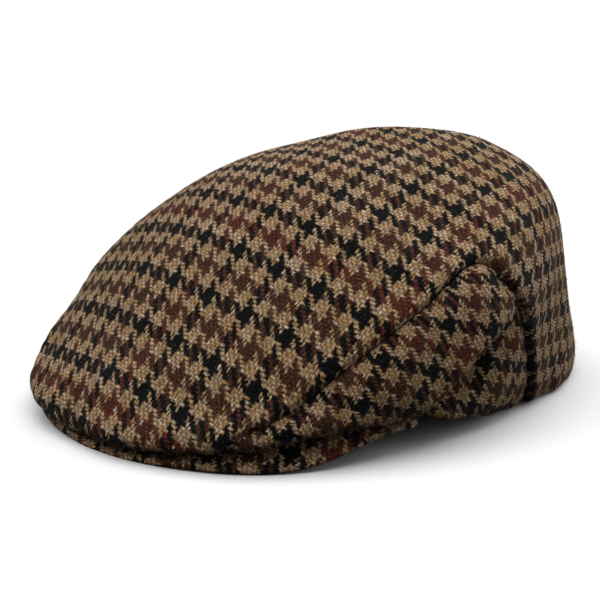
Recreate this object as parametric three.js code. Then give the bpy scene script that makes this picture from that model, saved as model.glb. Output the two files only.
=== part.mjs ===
// Flat cap in checked tweed: a top panel that runs from the peak over the crown and down the back,
// a side panel at each temple, and a covered peak under the front edge.
// Millimetres, +Z up. The peak points along -Y, the wearer's left is +X, and the cap stands on z = 0.
import * as THREE from "three";
import { LoftGeometry } from "three/addons/geometries/LoftGeometry.js";

// Driving sizes
const CLOTH = 1.8; // tweed with its backing
const SEAM_GAP = 0.5; // between neighbouring panels
const SEAT_GAP = 0.3; // between the crown's rolled edge and the peak
const APEX_HEIGHT = 103; // crown's middle, above the surface the cap stands on
const APEX_TILT = 0.15; // rise of the crown's middle towards the back, per millimetre
const WALL_HEIGHT = 150; // along the cloth from the hem to the crown's middle
const ROLL_HEIGHT = 0.2; // share of the wall that the roll at its foot takes
const REST_BAND = 2; // heights this near the ground ease into the flat the cap rests on

// Crown: one row for each 30 degrees of turn from the front (0) past the temple (90) to the back (180).
// Each pair is the reach from the vertical axis and the rise above the ground of a spline point. They
// shape the wall from its lower edge (hem), over the roll that turns the cloth under, the belly and
// the shoulder, to the ring round the crown's middle, which has a reach alone.
const CROWN = [
  { hem: [121, 3], roll: [140, 5], belly: [121, 26], shoulder: [91, 54], ring: 38 },
  { hem: [120, 5], roll: [141, 7], belly: [119, 28], shoulder: [92, 57], ring: 36 },
  { hem: [96, 20], roll: [113, 21], belly: [113, 37], shoulder: [98, 65], ring: 35 },
  { hem: [83, 6], roll: [93, 6], belly: [105, 41], shoulder: [102, 78], ring: 36 },
  { hem: [76, -3], roll: [87, -1], belly: [98, 45], shoulder: [97, 89], ring: 38 },
  { hem: [106, -3], roll: [123, -1], belly: [109, 51], shoulder: [103, 101], ring: 43 },
  { hem: [118, -3], roll: [134, -1], belly: [117, 54], shoulder: [111, 104], ring: 46 },
];
const TURN_STEP = 180 / (CROWN.length - 1);

// Seam round a side panel, from its tip at the front along its upper edge to the corner row and down
// its back edge to the hem: turn in degrees, and height up the wall from 0 at the hem to 1 at the middle.
const SIDE_SEAM = [
  { turn: 29, up: 0 },
  { turn: 31, up: 0.22 },
  { turn: 41, up: 0.33 },
  { turn: 54, up: 0.45 },
  { turn: 72, up: 0.545 },
  { turn: 92, up: 0.595 },
  { turn: 100, up: 0.52 },
  { turn: 108, up: 0.41 },
  { turn: 117, up: 0.26 },
  { turn: 127, up: 0 },
];
const CORNER_ROW = 5;

// Fold: the valley behind each end of the peak, where the side panel tucks in under its belly.
const FOLD_HALF_WIDTH = 0.08;
const FOLD = [
  { turn: 66, up: 0.12, depth: 0 },
  { turn: 76, up: 0.18, depth: 2 },
  { turn: 86, up: 0.26, depth: 7 },
  { turn: 96, up: 0.31, depth: 7 },
  { turn: 106, up: 0.35, depth: 3 },
  { turn: 116, up: 0.38, depth: 0 },
];

// Peak: one row for each place from its middle to its end at the temple. Depth is its width under the
// crown, lift how much higher its inner edge lies, lip how far it shows past the crown's rolled edge
// and drop how far the lip bends down. It lies a little to the left and is twisted, so that its left
// lip shows more and hangs lower.
const PEAK_SHIFT = 2;
const PEAK_TWIST = 0.045; // extra drop of the lip for each millimetre to the left
const PEAK_END = 69; // degrees of turn
const PEAK_NOSE = 1 / 3; // how far the lip's edge is rounded out, in thicknesses
const PEAK = [
  { depth: 52, lift: 10, lip: 0, drop: 4, thick: 3.4 },
  { depth: 46, lift: 10, lip: -2, drop: -4, thick: 3 },
  { depth: 26, lift: 5, lip: -4, drop: 10, thick: 2.4 },
  { depth: 3, lift: 0, lip: -8, drop: -12, thick: 1.4 },
];

// Mesh steps. Both panels at a seam take the same steps along it, so that their edges stay parallel.
const STEPS_PER_SEAM_ROW = 5;
const TOP_STEPS_ACROSS = 30;
const PEAK_STEPS = 40;
const ROLL_STEPS = 8;

const SEAM_STEPS = STEPS_PER_SEAM_ROW * (SIDE_SEAM.length - 1);
const CORNER_STEP = STEPS_PER_SEAM_ROW * CORNER_ROW;
const degrees = THREE.MathUtils.degToRad;
const lerp = THREE.MathUtils.lerp;
const steps = (count) => Array.from({ length: count + 1 }, (_, i) => i / count);

// Value of a uniform cubic B-spline at a place along its row of control values. A mirrored end has
// the same values beyond it as before it, and a plain end lies on its control value.
function spline(values, place, mirrored) {
  const last = values.length - 1;
  const span = Math.min(Math.floor(place), last - 1);
  const f = place - span;
  const value = (i) => {
    if (i >= 0 && i <= last) return values[i];
    const end = i < 0 ? 0 : last;
    const inside = i < 0 ? 1 : last - 1;
    return mirrored ? values[inside] : 2 * values[end] - values[inside];
  };
  const weights = [(1 - f) ** 3, 3 * f ** 3 - 6 * f ** 2 + 4, 1 + 3 * f + 3 * f ** 2 - 3 * f ** 3, f ** 3];
  return weights.reduce((sum, weight, i) => sum + (weight / 6) * value(span - 1 + i), 0);
}

// Depth of the fold's valley at a place on the wall.
function foldDepth(turn, up) {
  const last = FOLD.length - 1;
  const place = ((turn - FOLD[0].turn) / (FOLD[last].turn - FOLD[0].turn)) * last;
  if (place <= 0 || place >= last) return 0;
  const at = (name) => spline(FOLD.map((row) => row[name]), place, false);
  return at("depth") * Math.exp(-(((up - at("up")) / FOLD_HALF_WIDTH) ** 2));
}

// Height of the cloth where the ground flattens it.
function rested(z) {
  if (z >= REST_BAND) return z;
  return (Math.max(0, z + REST_BAND) ** 2) / (4 * REST_BAND);
}

// Place on a disk that stands for the crown: its edge is the hem and its centre the crown's middle.
function onDisk(turn, up) {
  return new THREE.Vector2(Math.sin(degrees(turn)), -Math.cos(degrees(turn))).multiplyScalar(1 - up);
}

// Outer crown surface at a place on the disk.
function crownPoint(place) {
  const turn = Math.abs(THREE.MathUtils.radToDeg(Math.atan2(place.x, -place.y)));
  const up = 1 - place.length();
  const column = (value) => spline(CROWN.map(value), turn / TURN_STEP, true);
  const side = Math.sign(place.x);
  const outward = new THREE.Vector3(side * Math.sin(degrees(turn)), -Math.cos(degrees(turn)), 0);
  const ring = column((row) => row.ring);
  const reaches = ["hem", "roll", "belly", "shoulder"].map((name) => column((row) => row[name][0]));
  const rises = ["hem", "roll", "belly", "shoulder"].map((name) => column((row) => row[name][1]));
  reaches.push(ring, 0);
  rises.push(APEX_HEIGHT + APEX_TILT * ring * outward.y, APEX_HEIGHT);
  const along = up * (reaches.length - 1);
  const point = outward.multiplyScalar(spline(reaches, along, false) - foldDepth(turn, up));
  return point.setZ(rested(spline(rises, along, false)));
}

// Outward unit normal of the crown at a place on the disk.
function crownNormal(place) {
  const step = 1e-3;
  const across = (x, y) => {
    const move = new THREE.Vector2(x, y);
    return crownPoint(place.clone().add(move)).sub(crownPoint(place.clone().sub(move)));
  };
  return across(step, 0).cross(across(0, step)).normalize();
}

// Place along the side seam, from 0 at the tip to 1 at its foot, moved off the seam by half its gap:
// to the side panel's side (1) or the top panel's (-1).
const seam = new THREE.SplineCurve(SIDE_SEAM.map((row) => onDisk(row.turn, row.up)));
function seamPlace(share, panelSide) {
  const along = seam.getTangent(share);
  const off = (panelSide * SEAM_GAP) / 2 / WALL_HEIGHT;
  return seam.getPoint(share).add(new THREE.Vector2(along.y, -along.x).multiplyScalar(off));
}

// Arc of the hem between two places near it, the short way round or by the back.
function hemArc(from, to, byBack) {
  const turn = (place) => THREE.MathUtils.radToDeg(Math.atan2(place.x, -place.y));
  const start = turn(from) + (byBack ? 360 : 0);
  return (share) => onDisk(lerp(start, turn(to), share), 0);
}

// Smooth filling of four edges, each a function of a share from 0 to 1.
function fillEdges({ front, back, left, right }, along, across) {
  const mix = (p, q, share) => p.clone().lerp(q, share);
  const ruledLong = mix(front(across), back(across), along);
  const ruledAcross = mix(left(along), right(along), across);
  const corners = mix(mix(front(0), back(0), along), mix(front(1), back(1), along), across);
  return ruledLong.add(ruledAcross).sub(corners);
}

// Closed wall of cloth over a grid of places: its outer face, its inner face and the strips round its
// border. A mirrored wall is the one on the cap's other side.
function wallGeometry(edges, stepsLong, stepsAcross, mirrored) {
  const places = steps(stepsLong).flatMap((along) =>
    steps(stepsAcross).map((across) => fillEdges(edges, along, across)),
  );
  const outer = places.map(crownPoint);
  const inner = places.map((place, i) => outer[i].clone().addScaledVector(crownNormal(place), -CLOTH));
  const points = [...outer, ...inner];
  if (mirrored) points.forEach((point) => point.setX(-point.x));

  const index = [];
  const quad = (a, b, c, d) => {
    const shorter = points[a].distanceTo(points[c]) < points[b].distanceTo(points[d]);
    const halves = shorter ? [a, c, b, a, d, c] : [a, d, b, b, d, c];
    index.push(...(mirrored ? halves.reverse() : halves));
  };
  const at = (long, across) => long * (stepsAcross + 1) + across;
  const within = (number) => number + places.length;
  for (let long = 0; long < stepsLong; long++) {
    for (let across = 0; across < stepsAcross; across++) {
      const near = [at(long, across), at(long + 1, across)];
      const corners = [...near, at(long + 1, across + 1), at(long, across + 1)];
      quad(...corners);
      quad(...corners.map(within).reverse());
    }
  }
  const border = [
    ...Array.from({ length: stepsLong }, (_, i) => at(i, 0)),
    ...Array.from({ length: stepsAcross }, (_, i) => at(stepsLong, i)),
    ...Array.from({ length: stepsLong }, (_, i) => at(stepsLong - i, stepsAcross)),
    ...Array.from({ length: stepsAcross }, (_, i) => at(0, stepsAcross - i)),
  ];
  border.forEach((from, i) => {
    const to = border[(i + 1) % border.length];
    quad(to, from, within(from), within(to));
  });
  return new THREE.BufferGeometry().setFromPoints(points).setIndex(index);
}

function topPanel() {
  const right = (along) => seamPlace(along, -1);
  const left = (along) => right(along).multiply(new THREE.Vector2(-1, 1));
  const front = hemArc(left(0), right(0), false);
  const back = hemArc(left(1), right(1), true);
  return wallGeometry({ front, back, left, right }, SEAM_STEPS, TOP_STEPS_ACROSS, false);
}

// Side panel of the wearer's left, or of the right when mirrored. It starts one step past the seam's tip,
// where it would be too thin.
function sidePanel(mirrored) {
  const corner = CORNER_STEP / SEAM_STEPS;
  const left = (along) => seamPlace(lerp(1 / SEAM_STEPS, corner, along), 1);
  const back = (across) => seamPlace(lerp(corner, 1, across), 1);
  const tipFoot = left(0).normalize();
  const right = hemArc(tipFoot, back(1), false);
  const front = (across) => left(0).lerp(tipFoot, across);
  return wallGeometry({ front, back, left, right }, CORNER_STEP - 1, SEAM_STEPS - CORNER_STEP, mirrored);
}

// Section of the peak at a turn from the front. Its upper face runs from the inner edge to its seat
// under the crown's rolled edge and on to the lip, and its lower face keeps the thickness below that.
function peakRing(turn) {
  const place = (Math.abs(turn) / PEAK_END) * (PEAK.length - 1);
  const at = (name) => spline(PEAK.map((row) => row[name]), place, true);
  const outward = onDisk(turn, 0);
  const edge = steps(ROLL_STEPS).map((share) => crownPoint(onDisk(turn, share * ROLL_HEIGHT)));
  const hemReach = Math.hypot(edge[0].x, edge[0].y);
  const rollReach = Math.max(...edge.map((point) => Math.hypot(point.x, point.y)));
  const seat = Math.min(...edge.map((point) => point.z)) - SEAT_GAP;
  const lipReach = rollReach + at("lip") + PEAK_SHIFT * outward.x;
  const lipRise = seat - Math.max(0, at("drop") + PEAK_TWIST * outward.x * lipReach);
  const upper = [
    [hemReach - at("depth"), seat + at("lift")],
    [hemReach - CLOTH, seat],
    [(hemReach + lipReach) / 2, seat],
    [lipReach, lipRise],
  ];
  const nose = [lipReach + at("thick") * PEAK_NOSE, lipRise - at("thick") / 2];
  const lower = upper.map(([reach, z]) => [reach, z - at("thick")]);
  return [...lower, nose, ...upper.reverse()].map(
    ([reach, z]) => new THREE.Vector3(outward.x * reach, outward.y * reach, Math.max(0, z)),
  );
}

function peak() {
  const sections = steps(PEAK_STEPS).map((share) => peakRing(lerp(PEAK_END, -PEAK_END, share)));
  return new LoftGeometry(sections, { capStart: true, capEnd: true });
}

function tweedPiece(name, geometry) {
  const tweed = new THREE.MeshStandardMaterial({ color: 0x6b5238, roughness: 0.95, metalness: 0 });
  const mesh = new THREE.Mesh(geometry, tweed);
  mesh.name = name;
  return mesh;
}

const cap = new THREE.Group();
cap.add(
  tweedPiece("top_panel", topPanel()),
  tweedPiece("side_panel_left", sidePanel(false)),
  tweedPiece("side_panel_right", sidePanel(true)),
  tweedPiece("peak", peak()),
);

// The cap's middle stands over the origin.
const middle = new THREE.Box3().setFromObject(cap).getCenter(new THREE.Vector3());
cap.position.set(-middle.x, -middle.y, 0);

export default cap;
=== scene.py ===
"""Flat cap in checked tweed: a top panel, two side panels and a covered peak, each with its loose nap."""
import math

import bpy
import numpy as np
from bpy.props import FloatProperty, FloatVectorProperty, IntProperty, PointerProperty
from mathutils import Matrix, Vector


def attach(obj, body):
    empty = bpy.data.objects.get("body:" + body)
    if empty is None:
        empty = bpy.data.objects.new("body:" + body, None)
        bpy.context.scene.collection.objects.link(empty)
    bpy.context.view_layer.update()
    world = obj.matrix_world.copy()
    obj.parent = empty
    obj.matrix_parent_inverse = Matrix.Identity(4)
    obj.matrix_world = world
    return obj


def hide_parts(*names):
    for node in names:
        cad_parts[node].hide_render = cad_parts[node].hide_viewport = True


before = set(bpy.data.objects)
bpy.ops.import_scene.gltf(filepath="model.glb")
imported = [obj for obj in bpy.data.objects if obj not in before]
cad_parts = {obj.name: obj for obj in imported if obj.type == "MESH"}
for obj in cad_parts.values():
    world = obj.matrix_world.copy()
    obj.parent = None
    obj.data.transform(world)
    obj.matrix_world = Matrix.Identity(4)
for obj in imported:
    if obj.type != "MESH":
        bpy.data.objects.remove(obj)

bl_info = {
    "name": "Flat Cap",
    "version": (1, 0, 0),
    "blender": (4, 5, 0),
    "location": "View3D > Sidebar > Flat Cap",
    "description": "Makes a tweed flat cap, its nap and a plain stage",
    "category": "Object",
}

# Sizes that the panels share with the solids, in millimetres on the cap's own axis
MM = 0.001
CLOTH = 1.8
SEAM_GAP = 0.5
SEAT_GAP = 0.3
APEX_HEIGHT = 103
APEX_TILT = 0.15
WALL_HEIGHT = 150
ROLL_HEIGHT = 0.2
REST_BAND = 2
AXIS_SHIFT = (0.0, 4.62, 0.0)

# Crown: reach and rise of each spline point, a row for every 30 degrees from the front to the back
CROWN = {
    "hem": [(121, 3), (120, 5), (96, 20), (83, 6), (76, -3), (106, -3), (118, -3)],
    "roll": [(140, 5), (141, 7), (113, 21), (93, 6), (87, -1), (123, -1), (134, -1)],
    "belly": [(121, 26), (119, 28), (113, 37), (105, 41), (98, 45), (109, 51), (117, 54)],
    "shoulder": [(91, 54), (92, 57), (98, 65), (102, 78), (97, 89), (103, 101), (111, 104)],
}
CROWN_RING = [38, 36, 35, 36, 38, 43, 46]
TURN_STEP = 30

# Seam round a side panel: turn in degrees and height up the wall
SIDE_SEAM = [
    (29, 0), (31, 0.22), (41, 0.33), (54, 0.45), (72, 0.545),
    (92, 0.595), (100, 0.52), (108, 0.41), (117, 0.26), (127, 0),
]
SEAM_TIP = 1 / 45
SEAM_CORNER = 5 / 9

# Crease of the fold behind each end of the peak: height up the wall and depth of the tuck below it,
# for even turns between two ends
CREASE_TURNS = (68, 108)
CREASE = [(0.13, 0), (0.295, 11), (0.36, 17), (0.415, 15), (0.447, 7.5), (0.47, 0)]
CREASE_WIDTH = 0.02
TUCK_WIDTH = 0.13
LIP_WIDTH = 0.06
LIP_SHARE = 0.15

# Peak: depth under the crown, lift of the inner edge, lip past the roll, drop of the lip, thickness. Past
# its ends it tapers over some degrees, where it tucks up, draws in its lip and thins.
PEAK = [(52, 10, -5, 4, 3.4), (46, 10, -4, -4, 3), (26, 5, -4, 9, 2.4), (3, 0, -8, -9.5, 1.4)]
PEAK_SHIFT = 2
PEAK_TWIST = 0.045
PEAK_END = 69
PEAK_TAPER = 5
PEAK_TUCK = 2.5
TAPER_LIP = 4
TAPER_THINNING = 0.85

# Lay of the check: how many checks across and along the cloth a place on a panel's cut lies. The cut's x
# is to the wearer's left and its y to the back, in decimetres from the panel's middle.
CHECK_UNIT = 100
TOP_COLUMNS = {"start": 0.144, "x": 4.304, "y": 1.278, "yy": 0.408}
TOP_ROWS = {"start": 7.625, "x": 0.334, "y": 4.496, "xx": -1.161, "yy": 0.137, "xxy": -0.921}
SIDE_COLUMNS = {"start": 2.636, "x": 2.941, "y": 3.378}
SIDE_ROWS = {"start": 2.877, "x": -4.226, "y": 2.432}
PEAK_COLUMNS = {"start": -0.19, "x": 4.24}
PEAK_ROWS = {"start": -0.41, "y": 4.24}

# Shares of the top panel's length where its back seam starts and over which it fades in, and the rounds
# and steps of the flattening
BACK_SEAM_START = 0.65
BACK_SEAM_FADE = 0.08
FLATTEN_ROUNDS = 90
TOP_CUT_STEPS = (72, 24)
SIDE_CUT_STEPS = (40, 30)

# Steps of each piece's grid, and how far the panels' lines draw together towards the seams
TOP_STEPS = (180, 66)
TOP_PULL = 0.7
SIDE_STEPS = (110, 80)
SIDE_PULL = 0.6
PEAK_SECTIONS = 171
PEAK_UPPER = 21
PEAK_ROUNDING = 7
ROLL_STEPS = 17

# Low waves of the worn cloth: height in millimetres, waves across and along the crown, phase
CLOTH_WAVES = [(0.45, 5.0, 3.0, 0.4), (0.35, -4.0, 7.0, 1.9), (0.25, 9.0, 4.0, 3.1), (0.2, 6.0, -11.0, 5.2)]

# Millimetres over which the spacing of the puckers drifts
PUCKER_DRIFT = 17

# Flat size of each panel's cut and its area, in metres
TOP_CUT = ((0.27, 0.36), 0.072)
SIDE_CUT = ((0.165, 0.09), 0.0087)

# Weave: stripes in a check and the middle of the brown one, yarns in a repeat of the twill and its start,
# checks between red stripes and which is red in the warp, the weft's own stray, and a yarn's sink beside another
STRIPES = 4
BROWN_MIDDLE = 2.5
TWILL = 4
TWILL_START = 3
RED_EVERY = 4
RED_WARP = 3
WEFT_STRAY = (0.31, 0.17, 0)
BESIDE_SINK = -0.6

# Uneven wool: how far apart yarns, and warp and weft, lie in the noise of the heather, and the rest of what
# the noises change. The painted shade between fibres is warmer, by powers for red, green and blue.
HEATHER_APART = (3.7, 41)
HEATHER_SCALE = 0.45
FIBRES_ACROSS = 9
FIBRE_SCALE = 0.8
PLIES = 2
PLY_STRAY = 1.5
TINT_SPREAD = 1.7
FIBRE_SPREAD = 1.9
MOTTLE_SPREAD = 1.6
HEATHER_SPREAD = 0.9
FLECK_COVER = 0.6
STRAY_COVER = 0.8
FIBRE_RELIEF = 0.4
SHADE_POWERS = (1.0, 1.2, 1.3)
SPECULAR = 0.05
SHEEN_ROUGHNESS = 0.5

# Nap: course of a fibre of unit length, angles of its lean, its least share of the length, and
# millimetres above the floor where the nap starts
FIBRE_COURSE = {"Start": (0, 0, -0.1), "Middle": (0, 0, 0.55), "End": (0, 0.45, 0.8)}
FIBRE_LEAN = (0.7, 1.5)
FIBRE_LEAST = 0.4
NAP_CLEAR = 3

# Stage: the camera's aim to the right and up, the lights' leanings, and the floor
AIM_RIGHT = -0.0076
AIM_UP = 0.0401
KEY_LEAN = 0.25
RIM_LIFT = 0.6
RIM_BEHIND = 0.8
FLOOR_HALF = 4.0
FLOOR_COLOUR = (0.92, 0.92, 0.92, 1)
FLOOR_ROUGHNESS = 0.9
FLOOR_SPECULAR = 0.1


def spline(values, place, mirrored):
    """Value of a uniform cubic B-spline at places along its row of control values."""
    values = np.asarray(values, float)
    if mirrored:
        before, after = values[1], values[-2]
    else:
        before, after = 2 * values[0] - values[1], 2 * values[-1] - values[-2]
    row = np.concatenate([before[None], values, after[None]])
    span = np.clip(np.floor(place).astype(int), 0, len(values) - 2)
    f = place - span
    weights = ((1 - f) ** 3, 3 * f**3 - 6 * f**2 + 4, 1 + 3 * f + 3 * f**2 - 3 * f**3, f**3)
    if values.ndim == 1:
        return sum(weight / 6 * row[span + i] for i, weight in enumerate(weights))
    pick = lambda i: np.take_along_axis(row, (span + i)[None], 0)[0]
    return sum(weight / 6 * pick(i) for i, weight in enumerate(weights))


def on_disk(turn, up):
    """Place on the disk that stands for the crown: its edge is the hem and its centre the middle."""
    turn = np.radians(turn)
    return np.stack([np.sin(turn), -np.cos(turn)], -1) * np.asarray(1 - up)[..., None]


def fold_depth(turn, up):
    """Depth of the side fold: a tuck below its crease and a low swelling above it."""
    ups, depths = np.array(CREASE, float).T
    first, last = CREASE_TURNS
    place = (turn - first) / (last - first) * (len(CREASE) - 1)
    inside = (place > 0) & (place < len(CREASE) - 1)
    place = np.clip(place, 0, len(CREASE) - 1)
    off = up - spline(ups, place, False)
    turned = 1 - np.exp(-((off / CREASE_WIDTH) ** 2))
    side = np.where(off < 0, np.exp(-((off / TUCK_WIDTH) ** 2)), -LIP_SHARE * np.exp(-((off / LIP_WIDTH) ** 2)))
    return np.where(inside, np.maximum(spline(depths, place, False), 0) * turned * side, 0)


def crown_point(place):
    """Outer crown surface, in millimetres, at places on the disk."""
    shape = place.shape[:-1]
    place = place.reshape(-1, 2)
    turn = np.abs(np.degrees(np.arctan2(place[:, 0], -place[:, 1])))
    up = 1 - np.hypot(place[:, 0], place[:, 1])
    outward = np.stack([np.sign(place[:, 0]) * np.sin(np.radians(turn)), -np.cos(np.radians(turn))], -1)
    column = lambda values: spline(values, turn / TURN_STEP, True)
    ring = column(CROWN_RING)
    reaches = [column([pair[0] for pair in row]) for row in CROWN.values()] + [ring, 0 * ring]
    rises = [column([pair[1] for pair in row]) for row in CROWN.values()]
    rises += [APEX_HEIGHT + APEX_TILT * ring * outward[:, 1], APEX_HEIGHT + 0 * ring]
    along = up * (len(reaches) - 1)
    reach = spline(reaches, along, False) - fold_depth(turn, up)
    rise = spline(rises, along, False)
    rested = np.maximum(0, rise + REST_BAND) ** 2 / (4 * REST_BAND)
    rise = np.where(rise >= REST_BAND, rise, rested)
    return np.concatenate([outward * reach[:, None], rise[:, None]], 1).reshape(*shape, 3)


def crown_normal(place):
    """Outward unit normal of the crown at places on the disk."""
    step = 1e-3
    across = lambda move: crown_point(place + move) - crown_point(place - move)
    normal = np.cross(across(np.array([step, 0])), across(np.array([0, step])))
    return normal / np.linalg.norm(normal, axis=-1, keepdims=True)


def seam_point(share):
    """Place along the side seam, on a curve through its rows."""
    rows = np.array([on_disk(turn, up) for turn, up in SIDE_SEAM])
    last = len(rows) - 1
    at = np.clip(share, 0, 1) * last
    span = np.minimum(at.astype(int), last)
    f = (at - span)[..., None]
    before, here, ahead, beyond = (rows[np.clip(span + i, 0, last)] for i in (-1, 0, 1, 2))
    leave, arrive = (ahead - before) / 2, (beyond - here) / 2
    return (
        (2 * here - 2 * ahead + leave + arrive) * f**3
        + (-3 * here + 3 * ahead - 2 * leave - arrive) * f**2
        + leave * f
        + here
    )


def seam_place(share, panel_side):
    """Place along the seam, moved by half its gap to the side panel's side (1) or the top panel's (-1)."""
    share = np.asarray(share, float)
    step = 1e-4
    along = seam_point(share + step) - seam_point(share - step)
    along /= np.linalg.norm(along, axis=-1, keepdims=True)
    off = panel_side * SEAM_GAP / 2 / WALL_HEIGHT
    return seam_point(share) + np.stack([along[..., 1], -along[..., 0]], -1) * off


def hem_arc(start, end, by_back):
    """Arc of the hem between two places near it."""
    turn = lambda place: math.degrees(math.atan2(place[0], -place[1]))
    first = turn(start) + (360 if by_back else 0)
    return lambda share: on_disk(first + (turn(end) - first) * np.asarray(share, float), np.zeros(np.shape(share)))


def fill_edges(edges, along, across):
    """Grid of places between four edges, each a function of a share from 0 to 1."""
    front, back, left, right = (edges[name] for name in ("front", "back", "left", "right"))
    t, s = along[:, None, None], across[None, :, None]
    ruled_long = front(across)[None] * (1 - t) + back(across)[None] * t
    ruled_across = left(along)[:, None] * (1 - s) + right(along)[:, None] * s
    ends = np.array([0.0, 1.0])
    near, far = front(ends), back(ends)
    corners = (near[0] * (1 - t) + far[0] * t) * (1 - s) + (near[1] * (1 - t) + far[1] * t) * s
    return ruled_long + ruled_across - corners


def top_edges():
    """Edges of the top panel on the disk."""
    right = lambda share: seam_place(share, -1)
    left = lambda share: right(share) * np.array([-1, 1])
    front = hem_arc(left(0.0), right(0.0), False)
    back = hem_arc(left(1.0), right(1.0), True)
    return {"front": front, "back": back, "left": left, "right": right}


def side_edges():
    """Edges of the left side panel on the disk."""
    left = lambda share: seam_place(SEAM_TIP + (SEAM_CORNER - SEAM_TIP) * np.asarray(share, float), 1)
    back = lambda share: seam_place(SEAM_CORNER + (1 - SEAM_CORNER) * np.asarray(share, float), 1)
    tip = left(0.0)
    foot = tip / np.linalg.norm(tip)
    front = lambda share: tip + (foot - tip) * np.asarray(share, float)[..., None]
    return {"front": front, "back": back, "left": left, "right": hem_arc(foot, back(1.0), False)}


def eased(count, pull):
    """Shares from 0 to 1 that lie closer together towards both ends."""
    even = np.linspace(0, 1, count + 1)
    return even - pull * np.sin(2 * np.pi * even) / (2 * np.pi)


def flatten(points, start, straight_rows):
    """Flat cut of a grid of points: each triangle keeps its shape as well as the others let it.

    The first column stays on the straight line x = 0 up to a row, and may open from there on."""
    rows, columns = points.shape[:2]
    number = np.arange(rows * columns).reshape(rows, columns)
    a, b, c, d = number[:-1, :-1], number[1:, :-1], number[1:, 1:], number[:-1, 1:]
    faces = np.concatenate([np.stack([a, b, c], -1).reshape(-1, 3), np.stack([a, c, d], -1).reshape(-1, 3)])
    flat = start.reshape(-1, 2).astype(float)
    shape = points.reshape(-1, 3)[faces]
    u, v = shape[:, 1] - shape[:, 0], shape[:, 2] - shape[:, 0]
    length = np.linalg.norm(u, axis=1)
    along = (u * v).sum(1) / length
    height = np.sqrt(np.maximum((v * v).sum(1) - along**2, 1e-12))
    facing = np.sign(np.linalg.det(flat[faces[:, 1:]] - flat[faces[:, :1]]).mean())
    rest = np.zeros((len(faces), 2, 2))
    rest[:, 0, 0] = length
    rest[:, 0, 1] = along
    rest[:, 1, 1] = facing * height
    area = length * height / 2
    slope = np.linalg.inv(rest)
    slope = np.concatenate([-slope.sum(1, keepdims=True), slope], 1)
    stiff = np.zeros((len(flat), len(flat)))
    for i in range(3):
        for j in range(3):
            np.add.at(stiff, (faces[:, i], faces[:, j]), area * (slope[:, i] * slope[:, j]).sum(1))

    def held_at(numbers):
        """Inverse of the stiffness with some points held."""
        held = stiff.copy()
        held[numbers] = 0
        held[numbers, numbers] = 1
        return np.linalg.inv(held)

    line, pin = number[: straight_rows + 1, 0], number[:1, 0]
    solve_x, solve_y = held_at(line), held_at(pin)
    for _ in range(FLATTEN_ROUNDS):
        change = np.einsum("fci,fcj->fij", flat[faces], slope)
        angle = np.arctan2(change[:, 1, 0] - change[:, 0, 1], change[:, 0, 0] + change[:, 1, 1])
        spun = np.array([[np.cos(angle), -np.sin(angle)], [np.sin(angle), np.cos(angle)]])
        goal = np.zeros_like(flat)
        for i in range(3):
            np.add.at(goal, faces[:, i], area[:, None] * np.einsum("ijf,fj->fi", spun, slope[:, i]))
        goal[line, 0] = 0
        goal[pin, 1] = 0
        flat = np.stack([solve_x @ goal[:, 0], solve_y @ goal[:, 1]], -1)
    return flat.reshape(rows, columns, 2)


def between(coarse, along, across):
    """Values of an even grid at finer shares along and across."""
    rows, columns = coarse.shape[0] - 1, coarse.shape[1] - 1
    r, c = np.minimum((along * rows).astype(int), rows - 1), np.minimum((across * columns).astype(int), columns - 1)
    t, s = (along * rows - r)[:, None, None], (across * columns - c)[None, :, None]
    pick = lambda i, j: coarse[np.ix_(r + i, c + j)]
    return (pick(0, 0) * (1 - s) + pick(0, 1) * s) * (1 - t) + (pick(1, 0) * (1 - s) + pick(1, 1) * s) * t


def run_length(points, axis, from_end):
    """Distance of each grid point from one side of the grid, along the cloth."""
    steps = np.linalg.norm(np.diff(points, axis=axis), axis=-1)
    total = np.cumsum(steps, axis=axis)
    start = np.zeros_like(np.take(steps, [0], axis=axis))
    run = np.concatenate([start, total], axis=axis)
    return np.take(run, [-1], axis=axis) - run if from_end else run


def cloth_mesh(name, points, faces, corners, shown):
    """Mesh from millimetres, with each corner's place on the cloth, and the faces that carry nap marked."""
    mesh = bpy.data.meshes.new(name)
    mesh.from_pydata(points * MM, [], faces)
    mesh.uv_layers.new(name="cloth").data.foreach_set("uv", corners.ravel())
    mesh.attributes.new("shown", "BOOLEAN", "FACE").data.foreach_set("value", shown)
    mesh.shade_smooth()
    mesh.validate()
    return mesh


def shell_mesh(name, outer, inner, cloth, mirrored, open_column=None, open_cloth=None):
    """Closed wall of cloth between two grids of points, with its place on the cloth as its UV map.

    Faces before an opened column take that column's other places on the cloth."""
    rows, columns = outer.shape[:2]
    count = rows * columns
    points = np.concatenate([outer.reshape(-1, 3), inner.reshape(-1, 3)]) + AXIS_SHIFT
    cut = np.concatenate([cloth.reshape(-1, 2)] * 2)
    number = np.arange(count).reshape(rows, columns)
    a, b, c, d = number[:-1, :-1], number[1:, :-1], number[1:, 1:], number[:-1, 1:]
    front = np.stack([a, d, c, b], -1).reshape(-1, 4)
    back = np.stack([a, b, c, d], -1).reshape(-1, 4) + count
    border = np.concatenate([number[:-1, 0], number[-1, :-1], number[:0:-1, -1], number[0, :0:-1]])
    ahead = np.roll(border, -1)
    strip = np.stack([border, ahead, ahead + count, border + count], -1)
    quads = np.concatenate([front, back, strip])
    if mirrored:
        points[:, 0] *= -1
        quads = quads[:, ::-1]
    corners = cut[quads]
    if open_column is not None:
        column, row = quads % count % columns, quads % count // columns
        opened = (column == open_column) & (column.min(1, keepdims=True) < open_column)
        corners[opened] = open_cloth[row[opened]]
    clear = points[quads][..., 2].min(1) > NAP_CLEAR
    return cloth_mesh(name, points, quads.tolist(), corners, clear & (np.arange(len(quads)) < len(front)))


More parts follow.
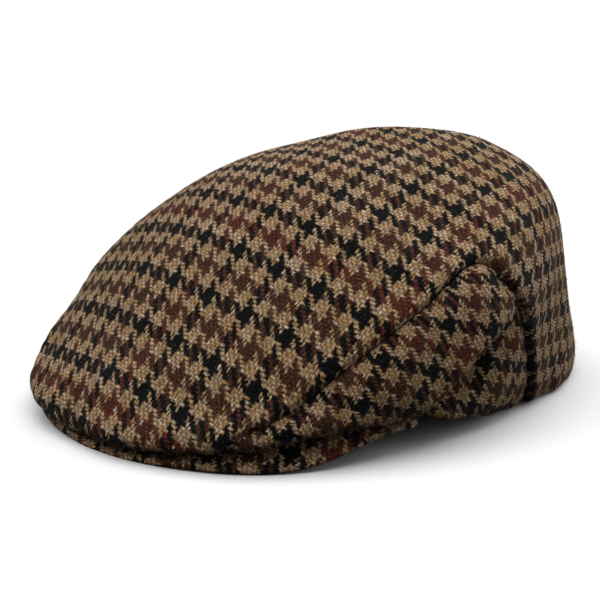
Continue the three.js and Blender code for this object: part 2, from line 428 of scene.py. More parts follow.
def add_piece(name, mesh, material):
    """Object for a finished mesh, riding on the cap's one body."""
    piece = bpy.data.objects.new(name, mesh)
    bpy.context.scene.collection.objects.link(piece)
    mesh.materials.clear()
    mesh.materials.append(material)
    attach(piece, "root")
    return piece


def cloth_waves(place):
    """Height of the cloth's low waves at places on the disk."""
    return sum(
        height * np.sin(across * np.pi * place[..., 0] + along * np.pi * place[..., 1] + phase)
        for height, across, along, phase in CLOTH_WAVES
    )


def seam_relief(edge, run, shape, proud):
    """Height of the cloth near a seam: the proud side swells and rolls over, the other side sinks."""
    pucker = shape.pucker / MM * np.sin(run * MM / shape.pucker_length * 2 * np.pi + np.sin(run / PUCKER_DRIFT))
    pucker = pucker * np.exp(-edge * MM / shape.seam_width)
    dip = shape.groove / MM * np.exp(-((edge * MM / shape.roll_width) ** 2))
    if proud:
        swell = shape.swell / MM * np.exp(-(((edge * MM - shape.seam_width) / shape.seam_width) ** 2))
        return pucker + swell - dip
    return pucker - shape.groove / MM * np.exp(-((edge * MM / shape.seam_width) ** 2))


def cloth_wall(points, normals, rise):
    """Outer and inner face of a panel, with its relief, kept on or above the floor."""
    outer = points + normals * rise[..., None]
    outer[..., 2] = np.maximum(outer[..., 2], 0)
    inner = outer - normals * CLOTH
    inner[..., 2] = np.maximum(inner[..., 2], 0)
    return outer, inner


def top_cut(along, across):
    """Cut of the top panel's left half, opened along its back seam."""
    rows, columns = TOP_CUT_STEPS
    places = fill_edges(top_edges(), np.linspace(0, 1, rows + 1), np.linspace(0.5, 1, columns + 1))
    cut = flatten(crown_point(places), places * WALL_HEIGHT, round(BACK_SEAM_START * rows))
    return between(cut - cut[rows // 2, 0], along, np.abs(across - 0.5) * 2)


def side_cut(along, across):
    """Cut of the left side panel."""
    rows, columns = SIDE_CUT_STEPS
    places = fill_edges(side_edges(), np.linspace(0, 1, rows + 1), np.linspace(0, 1, columns + 1))
    cut = flatten(crown_point(places), places * WALL_HEIGHT, 0)
    return between(cut - cut[rows // 2, columns // 2], along, across)


def lay_check(cut, columns, rows):
    """Places on the cloth, counted in checks, for places on a panel's cut in millimetres.

    The check bends on the left half alone."""
    x, y = cut[..., 0] / CHECK_UNIT, cut[..., 1] / CHECK_UNIT
    left = np.maximum(x, 0)
    terms = {"start": 1, "x": x, "y": y, "xx": left * left, "yy": y * y, "xxy": left * left * y}
    return np.stack([sum(lay[name] * terms[name] for name in lay) for lay in (columns, rows)], -1)


def feed(tree, socket, value):
    """Link a socket to a node's input, or set a plain value there."""
    if isinstance(value, bpy.types.NodeSocket):
        tree.links.new(value, socket)
    elif socket.type == "RGBA":
        socket.default_value = (*value, 1)
    else:
        socket.default_value = value


def set_inputs(node, values):
    """Set plain values of a node's inputs by their names."""
    for name, value in values.items():
        node.inputs[name].default_value = value


def calc(tree, operation, *values):
    """Math node with values or sockets as its inputs."""
    node = tree.nodes.new("ShaderNodeMath")
    node.operation = operation
    for socket, value in zip(node.inputs, values):
        feed(tree, socket, value)
    return node.outputs[0]


def blend_colour(tree, share, first, second, way="MIX"):
    """Mix node between two colours or sockets."""
    node = tree.nodes.new("ShaderNodeMix")
    node.data_type = "RGBA"
    node.blend_type = way
    for number, value in ((0, share), (6, first), (7, second)):
        feed(tree, node.inputs[number], value)
    return node.outputs[2]


def vector_of(tree, x, y, z):
    """Combine XYZ node."""
    node = tree.nodes.new("ShaderNodeCombineXYZ")
    for socket, value in zip(node.inputs, (x, y, z)):
        feed(tree, socket, value)
    return node.outputs[0]


def noise(tree, vector, scale, detail):
    """Noise texture's value at a vector."""
    node = tree.nodes.new("ShaderNodeTexNoise")
    set_inputs(node, {"Scale": scale, "Detail": detail})
    tree.links.new(vector, node.inputs["Vector"])
    return node.outputs["Fac"]


def tweed_material(name, tweed, loose):
    """Gun-club check in a two-by-two twill, worked out yarn by yarn from the cloth's coordinates."""
    material = bpy.data.materials.get(name)
    if material:
        return material
    material = bpy.data.materials.new(name)
    material.use_nodes = True
    tree = material.node_tree
    node, join = tree.nodes.new, tree.links.new
    do = lambda operation, *values: calc(tree, operation, *values)
    mix = lambda *values: blend_colour(tree, *values)
    shader = tree.nodes["Principled BSDF"]
    cloth = node("ShaderNodeAttribute")
    cloth.attribute_name = "cloth"
    pitch = tweed.repeat / tweed.yarns
    stripe = tweed.yarns / STRIPES

    # Yarns under a place: their lines stray a little and their edges are fuzzy
    split = node("ShaderNodeSeparateXYZ")
    join(cloth.outputs["Vector"], split.inputs[0])

    def strayed(axis, shift):
        """Place counted in yarns, with its strays."""
        moved = node("ShaderNodeVectorMath")
        moved.inputs[1].default_value = shift
        join(cloth.outputs["Vector"], moved.inputs[0])
        place = do("DIVIDE", split.outputs[axis], pitch)
        for size, amount in ((tweed.wander_size, tweed.wander), (tweed.fuzz_size, tweed.fuzz)):
            stray = do("SUBTRACT", noise(tree, moved.outputs[0], 1 / size, 2), 0.5)
            place = do("MULTIPLY_ADD", stray, amount, place)
        return place

    def covering(yarn, part, tan_width):
        """Where a yarn on top hides the one below. Camel yarns, every second stripe, are thinner."""
        stripes = do("FLOOR", do("DIVIDE", do("ADD", yarn, stripe / 2), stripe))
        width = do("MULTIPLY_ADD", do("FLOORED_MODULO", stripes, 2), tan_width - 1, 1)
        off_middle = do("ABSOLUTE", do("SUBTRACT", part, 0.5))
        return do("LESS_THAN", off_middle, do("MULTIPLY", width, 0.5))

    across, along = strayed(0, (0, 0, 0)), strayed(1, WEFT_STRAY)
    warp, weft = do("FLOOR", across), do("FLOOR", along)
    warp_part, weft_part = do("FRACT", across), do("FRACT", along)

    # Twill: which yarn lies on top, and how far along its float the place is
    step = do("FLOORED_MODULO", do("ADD", do("ADD", warp, weft), TWILL_START), TWILL)
    lifted = do("LESS_THAN", step, TWILL / 2)
    lowered = do("SUBTRACT", 1, lifted)
    warp_shown = do("MULTIPLY", lifted, covering(warp, warp_part, tweed.warp_width))
    weft_shown = do("MULTIPLY", lowered, covering(weft, weft_part, tweed.weft_width))
    warp_up = do("ADD", warp_shown, do("SUBTRACT", lowered, weft_shown))
    choose = lambda up, down: do("MULTIPLY_ADD", warp_up, do("SUBTRACT", up, down), down)
    yarn = choose(warp, weft)
    side_part = choose(warp_part, weft_part)
    past = do("FLOORED_MODULO", step, TWILL / 2)
    float_place = do("DIVIDE", do("ADD", past, choose(weft_part, warp_part)), TWILL / 2)
    run = choose(along, across)

    # Height of the yarn's rounded top, low where the yarn below shows beside it
    bow = lambda share: do("SINE", do("MULTIPLY", share, math.pi))
    beside = do("ABSOLUTE", do("SUBTRACT", lifted, warp_up))
    rounded = do("MAXIMUM", do("MULTIPLY", bow(side_part), bow(float_place)), 0)
    rounded = do("MULTIPLY", rounded, do("MULTIPLY_ADD", beside, BESIDE_SINK, 1))

    # Stripes of the check, and the red ones among the brown
    within = do("FLOORED_MODULO", do("ADD", yarn, stripe / 2), tweed.yarns)
    dark = do("LESS_THAN", within, stripe)
    brown = do("COMPARE", within, BROWN_MIDDLE * stripe - 0.5, stripe / 2)
    block = do("FLOORED_MODULO", do("FLOOR", do("DIVIDE", yarn, tweed.yarns)), RED_EVERY)
    red = do("COMPARE", block, do("MULTIPLY", warp_up, RED_WARP), 0.1)

    # Each yarn's own shade
    own = node("ShaderNodeTexWhiteNoise")
    own.noise_dimensions = "3D"
    join(vector_of(tree, yarn, warp_up, 0.5), own.inputs["Vector"])
    shade = node("ShaderNodeSeparateColor")
    join(own.outputs["Color"], shade.inputs[0])
    yarn_place, way_place = (do("MULTIPLY", *pair) for pair in zip((yarn, warp_up), HEATHER_APART))
    heather = noise(tree, vector_of(tree, yarn_place, run, way_place), HEATHER_SCALE, 3)
    heather = do("SUBTRACT", heather, 0.5)
    tint = lambda value: do("MULTIPLY_ADD", heather, TINT_SPREAD, value)
    tan = mix(tint(shade.outputs[0]), tweed.tan, tweed.tan_pale)
    black = mix(tint(shade.outputs[1]), tweed.dark, tweed.dark_tint)
    brown_yarn = mix(tint(shade.outputs[2]), tweed.brown, tweed.wine)
    red_yarn = mix(tint(shade.outputs[2]), tweed.red, tweed.wine)
    brown_yarn = mix(red, brown_yarn, red_yarn)
    colour = mix(dark, tan, black)
    colour = mix(brown, colour, brown_yarn)

    # Two twisted plies, fibres along them, flecks of paler wool, and painted shade between the yarns
    fibre_place = do("MULTIPLY", do("ADD", yarn, side_part), FIBRES_ACROSS)
    fibre = noise(tree, vector_of(tree, fibre_place, run, warp_up), FIBRE_SCALE, 3)
    mottle = noise(tree, cloth.outputs["Vector"], 1 / tweed.mottle_size, 1)
    turned = do("MULTIPLY_ADD", run, tweed.twist, do("MULTIPLY", side_part, PLIES))
    turned = do("MULTIPLY_ADD", mottle, PLY_STRAY, turned)
    ply = do("ABSOLUTE", bow(turned))
    height = do("MULTIPLY", rounded, do("MULTIPLY_ADD", ply, tweed.ply, 1 - tweed.ply))
    around = lambda value, amount: do("MULTIPLY_ADD", value, amount, 1 - amount / 2)
    # Uneven tone of the wool along its fibres, in patches and in the heather
    light = do("MULTIPLY", around(fibre, FIBRE_SPREAD), around(mottle, MOTTLE_SPREAD))
    light = do("MULTIPLY", light, do("MULTIPLY_ADD", heather, HEATHER_SPREAD, 1.0))
    if loose:
        stray = node("ShaderNodeAttribute")
        stray.attribute_name = "stray"
        pale = do("LESS_THAN", stray.outputs["Fac"], tweed.stray)
        colour = mix(do("MULTIPLY", pale, STRAY_COVER), colour, tweed.fleck)
    else:
        fleck = do("GREATER_THAN", fibre, tweed.fleck_level)
        colour = mix(do("MULTIPLY", fleck, FLECK_COVER), colour, tweed.fleck)
        # Painted shade: the base colour darkens where the yarn's height is low, between the yarns and between the
        # plies
        light = do("MULTIPLY", light, do("MULTIPLY_ADD", height, tweed.gap_shade, 1 - tweed.gap_shade))
        bump = node("ShaderNodeBump")
        set_inputs(bump, {"Strength": tweed.bump, "Distance": tweed.yarn_height})
        join(do("MULTIPLY_ADD", fibre, FIBRE_RELIEF, height), bump.inputs["Height"])
        join(bump.outputs["Normal"], shader.inputs["Normal"])
    # Painted shade and the wool's uneven tone darken the base colour, the painted shade warmer by a power for each of
    # red, green and blue
    shaded = node("ShaderNodeCombineColor")
    for socket, power in zip(shaded.inputs, SHADE_POWERS):
        join(do("POWER", light, power), socket)
    colour = mix(1.0, colour, shaded.outputs[0], "MULTIPLY")
    join(colour, shader.inputs["Base Color"])
    set_inputs(shader, {"Roughness": tweed.roughness, "Specular IOR Level": SPECULAR})
    set_inputs(shader, {"Sheen Weight": tweed.sheen, "Sheen Roughness": SHEEN_ROUGHNESS})
    return material


def nap_tree():
    """Geometry Nodes tree that sets short bent fibres on a piece's shown faces."""
    tree = bpy.data.node_groups.get("tweed_nap")
    if tree:
        return tree
    tree = bpy.data.node_groups.new("tweed_nap", "GeometryNodeTree")
    kinds = {"Geometry": "Geometry", "Seed": "Int", "Finish": "Material"}
    for name in ("Geometry", "Density", "Length", "Radius", "Seed", "Finish"):
        kind = "NodeSocket" + kinds.get(name, "Float")
        tree.interface.new_socket(name, in_out="INPUT", socket_type=kind)
    tree.interface.new_socket("Geometry", in_out="OUTPUT", socket_type="NodeSocketGeometry")
    node, join = tree.nodes.new, tree.links.new
    given = node("NodeGroupInput").outputs

    shown = node("GeometryNodeInputNamedAttribute")
    shown.data_type = "BOOLEAN"
    shown.inputs["Name"].default_value = "shown"
    scatter = node("GeometryNodeDistributePointsOnFaces")
    join(given["Geometry"], scatter.inputs["Mesh"])
    join(shown.outputs["Attribute"], scatter.inputs["Selection"])
    join(given["Density"], scatter.inputs["Density"])
    join(given["Seed"], scatter.inputs["Seed"])

    bend = node("GeometryNodeCurveQuadraticBezier")
    set_inputs(bend, {"Resolution": 2, **FIBRE_COURSE})
    ribbon = node("GeometryNodeCurvePrimitiveLine")
    for name, side in (("Start", -1), ("End", 1)):
        half = calc(tree, "MULTIPLY", given["Radius"], side)
        join(vector_of(tree, half, 0, 0), ribbon.inputs[name])
    fibre = node("GeometryNodeCurveToMesh")
    join(bend.outputs["Curve"], fibre.inputs["Curve"])
    join(ribbon.outputs["Curve"], fibre.inputs["Profile Curve"])

    def chance(low, high, salt):
        """Random value of each fibre, from the seed and a salt of its own."""
        value = node("FunctionNodeRandomValue")
        value.data_type = "FLOAT"
        value.inputs[2].default_value = low
        value.inputs[3].default_value = high
        join(calc(tree, "ADD", given["Seed"], salt), value.inputs["Seed"])
        return value.outputs[1]

    facing = scatter.outputs["Rotation"]
    for axis, low, high, salt in (("Z", 0, 2 * math.pi, 11), ("X", *FIBRE_LEAN, 23)):
        euler = node("ShaderNodeCombineXYZ")
        join(chance(low, high, salt), euler.inputs[axis])
        angle = node("FunctionNodeEulerToRotation")
        join(euler.outputs[0], angle.inputs[0])
        turn = node("FunctionNodeRotateRotation")
        turn.rotation_space = "LOCAL"
        join(facing, turn.inputs[0])
        join(angle.outputs[0], turn.inputs[1])
        facing = turn.outputs[0]
    long = calc(tree, "MULTIPLY", given["Length"], chance(FIBRE_LEAST, 1, 37))
    plant = node("GeometryNodeInstanceOnPoints")
    join(scatter.outputs["Points"], plant.inputs["Points"])
    join(fibre.outputs["Mesh"], plant.inputs["Instance"])
    join(facing, plant.inputs["Rotation"])
    join(vector_of(tree, long, long, long), plant.inputs["Scale"])
    marked = node("GeometryNodeStoreNamedAttribute")
    marked.domain = "INSTANCE"
    marked.inputs["Name"].default_value = "stray"
    join(plant.outputs["Instances"], marked.inputs["Geometry"])
    join(chance(0, 1, 53), marked.inputs["Value"])
    real = node("GeometryNodeRealizeInstances")
    join(marked.outputs["Geometry"], real.inputs["Geometry"])
    finish = node("GeometryNodeSetMaterial")
    join(real.outputs["Geometry"], finish.inputs["Geometry"])
    join(given["Finish"], finish.inputs["Material"])
    join(finish.outputs["Geometry"], node("NodeGroupOutput").inputs["Geometry"])
    return tree


def grow_nap(panel, nap, material, seed):
    """Loose fibres on a finished piece, as a plain mesh of their own."""
    tree = nap_tree()
    grower = bpy.data.objects.new("grower", panel.data)
    bpy.context.scene.collection.objects.link(grower)
    modifier = grower.modifiers.new("Nap", "NODES")
    modifier.node_group = tree
    values = {
        "Density": nap.density,
        "Length": nap.length,
        "Radius": nap.radius / nap.length,
        "Seed": seed,
        "Finish": material,
    }
    for item in tree.interface.items_tree:
        if item.item_type == "SOCKET" and item.in_out == "INPUT" and item.name in values:
            modifier[item.identifier] = values[item.name]
    ready = grower.evaluated_get(bpy.context.evaluated_depsgraph_get())
    mesh = bpy.data.meshes.new_from_object(ready)
    mesh.name = panel.name + "_nap"
    bpy.data.objects.remove(grower)
    if not mesh.polygons:
        raise RuntimeError(f"no fibres grew on {panel.name}")
    mesh.shade_smooth()
    return add_piece(panel.name + "_nap", mesh, material)


class CapCloth(bpy.types.PropertyGroup):
    """Weave and colours of the tweed."""

    repeat: FloatProperty(name="Repeat", description="Width of one check", default=0.0236, unit="LENGTH")
    yarns: IntProperty(name="Yarns", description="Yarns in one check", default=16)
    warp_width: FloatProperty(
        name="Warp width", description="Share of its place that a camel warp yarn covers", default=0.58
    )
    weft_width: FloatProperty(
        name="Weft width", description="Share of its place that a camel weft yarn covers", default=0.78
    )
    wander: FloatProperty(name="Wander", description="How many yarns the lines stray", default=0.7)
    wander_size: FloatProperty(name="Wander size", description="Length of a stray", default=0.012, unit="LENGTH")
    fuzz: FloatProperty(name="Fuzz", description="How many yarns the yarns' edges stray", default=2.2)
    fuzz_size: FloatProperty(name="Fuzz size", description="Length of an edge's stray", default=0.0007, unit="LENGTH")
    dark: FloatVectorProperty(
        name="Dark", description="Charcoal yarn", default=(0.005, 0.0045, 0.005), subtype="COLOR"
    )
    dark_tint: FloatVectorProperty(
        name="Dark tint", description="Green and navy fibres", default=(0.007, 0.0115, 0.0145), subtype="COLOR"
    )
    tan: FloatVectorProperty(name="Tan", description="Camel yarn", default=(0.66, 0.46, 0.205), subtype="COLOR")
    tan_pale: FloatVectorProperty(
        name="Pale tan", description="Paler camel fibres", default=(0.80, 0.645, 0.46), subtype="COLOR"
    )
    brown: FloatVectorProperty(name="Brown", description="Brown yarn", default=(0.100, 0.060, 0.035), subtype="COLOR")
    wine: FloatVectorProperty(
        name="Wine", description="Wine red fibres", default=(0.130, 0.051, 0.033), subtype="COLOR"
    )
    red: FloatVectorProperty(
        name="Red", description="Red yarn of every fourth check", default=(0.25, 0.055, 0.035), subtype="COLOR"
    )
    fleck: FloatVectorProperty(
        name="Fleck", description="Pale flecks of wool", default=(0.46, 0.39, 0.29), subtype="COLOR"
    )
    stray: FloatProperty(name="Stray", description="Share of the loose fibres that are pale", default=0.2)
    twist: FloatProperty(name="Twist", description="Turns of the plies in a yarn's width", default=0.8)
    ply: FloatProperty(name="Ply", description="Depth between the plies", default=0.5)
    mottle_size: FloatProperty(
        name="Mottle size", description="Length of the uneven patches", default=0.0011, unit="LENGTH"
    )
    fleck_level: FloatProperty(name="Fleck level", description="Higher gives fewer flecks", default=0.70)
    gap_shade: FloatProperty(name="Gap shade", description="Darkening between the yarns", default=0.82)
    bump: FloatProperty(name="Relief", description="Strength of the yarns' relief", default=0.8)
    yarn_height: FloatProperty(name="Yarn height", description="Rise of a yarn", default=0.0004, unit="LENGTH")
    roughness: FloatProperty(name="Roughness", description="Roughness of the wool", default=0.92)
    sheen: FloatProperty(name="Sheen", description="Soft light that the wool's fuzz catches", default=0.03)


class CapShape(bpy.types.PropertyGroup):
    """Sizes of the cloth's relief at its seams."""

    groove: FloatProperty(name="Groove", description="Depth of a seam's groove", default=0.0021, unit="LENGTH")
    roll_width: FloatProperty(
        name="Roll width", description="Width over which an edge rolls under", default=0.0014, unit="LENGTH"
    )
    seam_width: FloatProperty(
        name="Seam width", description="Width of the swelling beside a seam", default=0.0055, unit="LENGTH"
    )
    swell: FloatProperty(
        name="Swell", description="Height of the swelling beside a seam", default=0.0009, unit="LENGTH"
    )
    pucker: FloatProperty(
        name="Pucker", description="Height of the puckers along a seam", default=0.00025, unit="LENGTH"
    )
    pucker_length: FloatProperty(
        name="Pucker length", description="Length of one pucker", default=0.009, unit="LENGTH"
    )


class CapNap(bpy.types.PropertyGroup):
    """Loose fibres that stand off the cloth."""

    density: FloatProperty(name="Density", description="Fibres on a square metre", default=450000)
    length: FloatProperty(name="Length", description="Longest fibre", default=0.0013, unit="LENGTH")
    radius: FloatProperty(name="Radius", description="Half a fibre's width", default=0.000036, unit="LENGTH")
    seed: IntProperty(name="Seed", description="Order of the fibres", default=7)


class CapStage(bpy.types.PropertyGroup):
    """Camera, floor and lights."""

    azimuth: FloatProperty(
        name="Azimuth", description="Camera's turn to the cap's left", default=math.radians(48.5), subtype="ANGLE"
    )
    elevation: FloatProperty(
        name="Elevation", description="Camera's angle above the floor", default=math.radians(16.9), subtype="ANGLE"
    )
    distance: FloatProperty(name="Distance", description="Camera to the cap", default=1.38, unit="LENGTH")
    lens: FloatProperty(name="Lens", description="Focal length in millimetres", default=187.0)
    key: FloatProperty(name="Key light", description="Strength of the wide light overhead", default=2.75)
    rim: FloatProperty(name="Rim light", description="Strength of the light from the back", default=2.6)
    light_width: FloatProperty(
        name="Light width", description="Angle that each light spans", default=math.radians(85), subtype="ANGLE"
    )
    sky: FloatProperty(name="Sky", description="Strength of the even light from above", default=0.2)


class FlatCap(bpy.types.PropertyGroup):
    """All settings of the cap."""

    cloth: PointerProperty(type=CapCloth)
    shape: PointerProperty(type=CapShape)
    nap: PointerProperty(type=CapNap)
    stage: PointerProperty(type=CapStage)


class CAP_OT_top_panel(bpy.types.Operator):
    """Make the top panel, from the peak over the crown and down the back"""

    bl_idname = "cap.top_panel"
    bl_label = "Top Panel"

    def execute(self, context):
        cap = context.scene.flat_cap
        along, half = np.linspace(0, 1, TOP_STEPS[0] + 1), eased(TOP_STEPS[1], TOP_PULL) / 2
        across = np.concatenate([half, 0.5 + half[1:]])
        middle = len(half) - 1
        places = fill_edges(top_edges(), along, across)
        points, normals = crown_point(places), crown_normal(places)
        cut = top_cut(along, across)
        open_cut = cut[:, middle] * (-1, 1)
        cut[:, :middle] *= (-1, 1)
        run = run_length(points, 1, False)
        edge = np.minimum(run, run_length(points, 1, True))
        centre = np.abs(run - run[:, middle : middle + 1])
        seamed = np.clip((along - BACK_SEAM_START) / BACK_SEAM_FADE, 0, 1)[:, None]
        length = run_length(points, 0, False)
        rise = cloth_waves(places) + seam_relief(edge, length, cap.shape, True)
        rise += seamed * seam_relief(centre, length, cap.shape, True)
        outer, inner = cloth_wall(points, normals, rise)
        lay = lambda flat: lay_check(flat, TOP_COLUMNS, TOP_ROWS) * cap.cloth.repeat
        mesh = shell_mesh("top_panel", outer, inner, lay(cut), False, middle, lay(open_cut))
        piece = add_piece("top_panel_tweed", mesh, tweed_material("gun_club_tweed", cap.cloth, False))
        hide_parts("top_panel")
        return {"FINISHED"}


class CAP_OT_side_panels(bpy.types.Operator):
    """Make the side panels at the temples"""

    bl_idname = "cap.side_panels"
    bl_label = "Side Panels"

    def execute(self, context):
        cap = context.scene.flat_cap
        along, across = (eased(steps, SIDE_PULL) for steps in SIDE_STEPS)
        places = fill_edges(side_edges(), along, across)
        points, normals = crown_point(places), crown_normal(places)
        cloth = lay_check(side_cut(along, across), SIDE_COLUMNS, SIDE_ROWS) * cap.cloth.repeat
        upper, back = run_length(points, 1, False), run_length(points, 0, True)
        rise = cloth_waves(places) + np.minimum(
            seam_relief(upper, run_length(points, 0, False), cap.shape, False),
            seam_relief(back, upper, cap.shape, False),
        )
        outer, inner = cloth_wall(points, normals, rise)
        for name, mirrored in (("side_panel_left", False), ("side_panel_right", True)):
            mesh = shell_mesh(name, outer, inner, cloth * (-1 if mirrored else 1, 1), mirrored)
            piece = add_piece(name + "_tweed", mesh, tweed_material("gun_club_tweed", cap.cloth, False))
            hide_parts(name)
        return {"FINISHED"}


class CAP_OT_peak(bpy.types.Operator):
    """Make the covered peak under the front edge"""

    bl_idname = "cap.peak"
    bl_label = "Peak"

    def execute(self, context):
        cap = context.scene.flat_cap
        turns = np.linspace(PEAK_END + PEAK_TAPER, -PEAK_END - PEAK_TAPER, PEAK_SECTIONS)
        place = np.minimum(np.abs(turns) / PEAK_END, 1) * (len(PEAK) - 1)
        depth, lift, lip, drop, thick = (spline(column, place, True) for column in np.array(PEAK, float).T)
        taper = np.maximum(np.abs(turns) - PEAK_END, 0) / PEAK_TAPER
        lip, thick = lip - TAPER_LIP * taper, thick * (1 - TAPER_THINNING * taper)
        tucked = taper**2 * PEAK_TUCK
        outward = on_disk(turns, np.zeros_like(turns))
        edge = crown_point(on_disk(turns[:, None], np.linspace(0, ROLL_HEIGHT, ROLL_STEPS)[None]))
        hem = np.hypot(edge[:, 0, 0], edge[:, 0, 1])
        roll = np.hypot(edge[..., 0], edge[..., 1]).max(1)
        seat = edge[..., 2].min(1) - SEAT_GAP + tucked
        lip_reach = roll + lip + PEAK_SHIFT * outward[:, 0]
        lip_rise = seat - np.maximum(0, drop + PEAK_TWIST * outward[:, 0] * lip_reach)
        reach = np.stack([hem - depth, hem - CLOTH, (hem + lip_reach) / 2, lip_reach])
        rise = np.stack([seat + lift, seat, seat, lip_rise])
        shares = np.linspace(0, len(reach) - 1, PEAK_UPPER)
        reach = np.stack([spline(reach, np.full(len(turns), share), False) for share in shares], 1)
        rise = np.stack([spline(rise, np.full(len(turns), share), False) for share in shares], 1)
        turn = np.linspace(np.pi / 2, -np.pi / 2, PEAK_ROUNDING + 2)[1:-1]
        nose_reach = reach[:, -1:] + np.cos(turn) * thick[:, None] / 2
        nose_rise = rise[:, -1:] + (np.sin(turn) - 1) * thick[:, None] / 2
        reach = np.concatenate([reach, nose_reach, reach[:, ::-1]], 1)
        rise = np.maximum(0, np.concatenate([rise, nose_rise, rise[:, ::-1] - thick[:, None]], 1))
        points = np.concatenate([outward[:, None] * reach[..., None], rise[..., None]], -1)
        run = np.concatenate([np.zeros((len(turns), 1)), np.cumsum(np.hypot(np.diff(reach), np.diff(rise)), 1)], 1)
        middle = PEAK_UPPER + PEAK_ROUNDING // 2
        flat = lip_reach[:, None] - np.abs(run - run[:, middle : middle + 1])
        cloth = lay_check(outward[:, None] * flat[..., None], PEAK_COLUMNS, PEAK_ROWS) * cap.cloth.repeat
        mesh = self.ring_mesh(points + AXIS_SHIFT, cloth)
        piece = add_piece("peak_tweed", mesh, tweed_material("gun_club_tweed", cap.cloth, False))
        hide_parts("peak")
        return {"FINISHED"}

    @staticmethod
    def ring_mesh(points, cloth):
        """Closed loft through the peak's sections."""
        rows, columns = points.shape[:2]
        number = np.arange(rows * columns).reshape(rows, columns)
        ahead = np.roll(number, -1, axis=1)
        quads = np.stack([number[:-1], ahead[:-1], ahead[1:], number[1:]], -1).reshape(-1, 4)
        faces = quads.tolist()
        half = columns // 2
        for row in (number[0, ::-1].tolist(), number[-1].tolist()):
            faces += [[row[i], row[i + 1], row[columns - 2 - i], row[columns - 1 - i]] for i in range(half - 1)]
            if columns % 2:
                faces.append([row[half - 1], row[half], row[half + 1]])
        points = points.reshape(-1, 3)
        shown = np.zeros(len(faces), bool)
        shown[: len(quads)] = points[quads][..., 2].min(1) > NAP_CLEAR
        return cloth_mesh("peak", points, faces, cloth.reshape(-1, 2)[np.concatenate(faces)], shown)


class CAP_OT_nap(bpy.types.Operator):
    """Grow the loose fibres of every piece"""

    bl_idname = "cap.nap"
    bl_label = "Nap"

    def execute(self, context):
        cap = context.scene.flat_cap
        finish = tweed_material("gun_club_fibre", cap.cloth, True)
        cuts = {
            "top_panel_tweed": TOP_CUT,
            "side_panel_left_tweed": SIDE_CUT,
            "side_panel_right_tweed": SIDE_CUT,
            "peak_tweed": None,
        }
        for number, (name, cut) in enumerate(cuts.items()):
            panel = bpy.data.objects.get(name)
            if panel is None:
                raise RuntimeError(f"{name} is not made yet")
            fibres = grow_nap(panel, cap.nap, finish, cap.nap.seed + number)
        return {"FINISHED"}


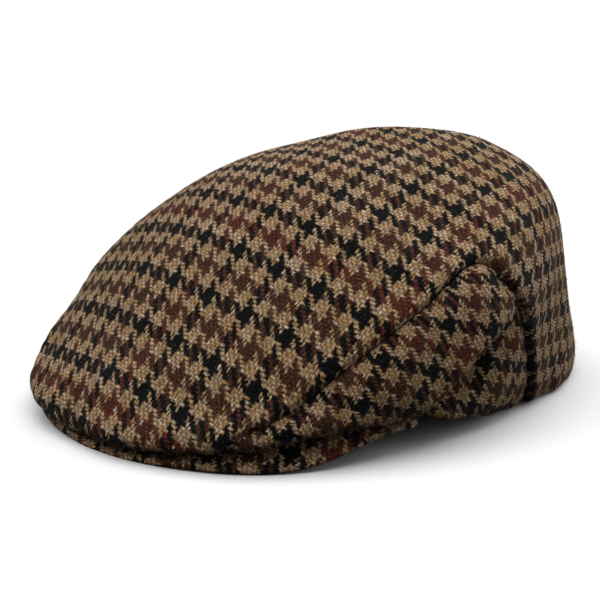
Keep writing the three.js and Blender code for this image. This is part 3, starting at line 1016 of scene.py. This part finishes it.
class CAP_OT_stage(bpy.types.Operator):
    """Make the floor, the lights and the camera"""

    bl_idname = "cap.stage"
    bl_label = "Stage"

    def execute(self, context):
        stage = context.scene.flat_cap.stage
        scene = context.scene
        self.floor(scene)
        azimuth, elevation = stage.azimuth, stage.elevation
        back = Vector(
            (math.sin(azimuth) * math.cos(elevation), -math.cos(azimuth) * math.cos(elevation), math.sin(elevation))
        )
        right = Vector((math.cos(azimuth), math.sin(azimuth), 0))
        up = back.cross(right)
        data = bpy.data.cameras.new("camera")
        data.lens = stage.lens
        camera = bpy.data.objects.new("camera", data)
        scene.collection.objects.link(camera)
        camera.location = back * stage.distance
        target = right * AIM_RIGHT + up * AIM_UP
        camera.rotation_euler = (camera.location - target).to_track_quat("Z", "Y").to_euler()
        scene.camera = camera

        overhead = Vector((0, 0, 1))
        self.light(scene, "key", overhead - right * KEY_LEAN, stage.light_width, stage.key)
        behind = right + overhead * RIM_LIFT - back * RIM_BEHIND
        self.light(scene, "rim", behind, stage.light_width, stage.rim)
        world = bpy.data.worlds.new("studio")
        world.use_nodes = True
        tree = world.node_tree
        background = tree.nodes["Background"]
        background.inputs["Strength"].default_value = stage.sky
        # The sky gives light only from above the floor
        towards = tree.nodes.new("ShaderNodeTexCoord")
        height = tree.nodes.new("ShaderNodeSeparateXYZ")
        tree.links.new(towards.outputs["Generated"], height.inputs[0])
        tree.links.new(calc(tree, "GREATER_THAN", height.outputs["Z"], 0), background.inputs["Color"])
        scene.world = world
        scene.view_settings.view_transform = "Standard"
        return {"FINISHED"}

    @staticmethod
    def light(scene, name, towards, width, strength):
        """Wide soft light from one direction."""
        data = bpy.data.lights.new(name, "SUN")
        data.energy = strength
        data.angle = width
        lamp = bpy.data.objects.new(name, data)
        scene.collection.objects.link(lamp)
        lamp.rotation_euler = towards.to_track_quat("Z", "Y").to_euler()

    @staticmethod
    def floor(scene):
        """Wide pale floor under the cap."""
        mesh = bpy.data.meshes.new("floor")
        corners = [(x * FLOOR_HALF, y * FLOOR_HALF, 0) for x, y in ((-1, -1), (1, -1), (1, 1), (-1, 1))]
        mesh.from_pydata(corners, [], [(0, 1, 2, 3)])
        floor = bpy.data.objects.new("floor", mesh)
        scene.collection.objects.link(floor)
        paint = bpy.data.materials.new("floor")
        paint.use_nodes = True
        shader = paint.node_tree.nodes["Principled BSDF"]
        set_inputs(shader, {"Base Color": FLOOR_COLOUR, "Roughness": FLOOR_ROUGHNESS})
        set_inputs(shader, {"Specular IOR Level": FLOOR_SPECULAR})
        mesh.materials.append(paint)
        # The floor throws no light back on the cap's sides
        floor.visible_diffuse = False


class CAP_PT_panel(bpy.types.Panel):
    """Settings and steps of the flat cap"""

    bl_idname = "CAP_PT_panel"
    bl_label = "Flat Cap"
    bl_space_type = "VIEW_3D"
    bl_region_type = "UI"
    bl_category = "Flat Cap"

    def draw(self, context):
        layout = self.layout
        cap = context.scene.flat_cap
        for group in (cap.cloth, cap.shape, cap.nap, cap.stage):
            box = layout.box()
            for name in group.__annotations__:
                box.prop(group, name)
        for step in STEPS:
            layout.operator(step.bl_idname)


STEPS = (CAP_OT_top_panel, CAP_OT_side_panels, CAP_OT_peak, CAP_OT_nap, CAP_OT_stage)
CLASSES = (CapCloth, CapShape, CapNap, CapStage, FlatCap, *STEPS, CAP_PT_panel)


def register():
    for one in CLASSES:
        bpy.utils.register_class(one)
    bpy.types.Scene.flat_cap = PointerProperty(type=FlatCap)


def unregister():
    del bpy.types.Scene.flat_cap
    for one in reversed(CLASSES):
        bpy.utils.unregister_class(one)


def main():
    """Make the cap on its stage."""
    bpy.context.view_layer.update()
    register()
    bpy.ops.cap.top_panel()
    bpy.ops.cap.side_panels()
    bpy.ops.cap.peak()
    bpy.ops.cap.nap()
    bpy.ops.cap.stage()


if __name__ == "__main__":
    main()
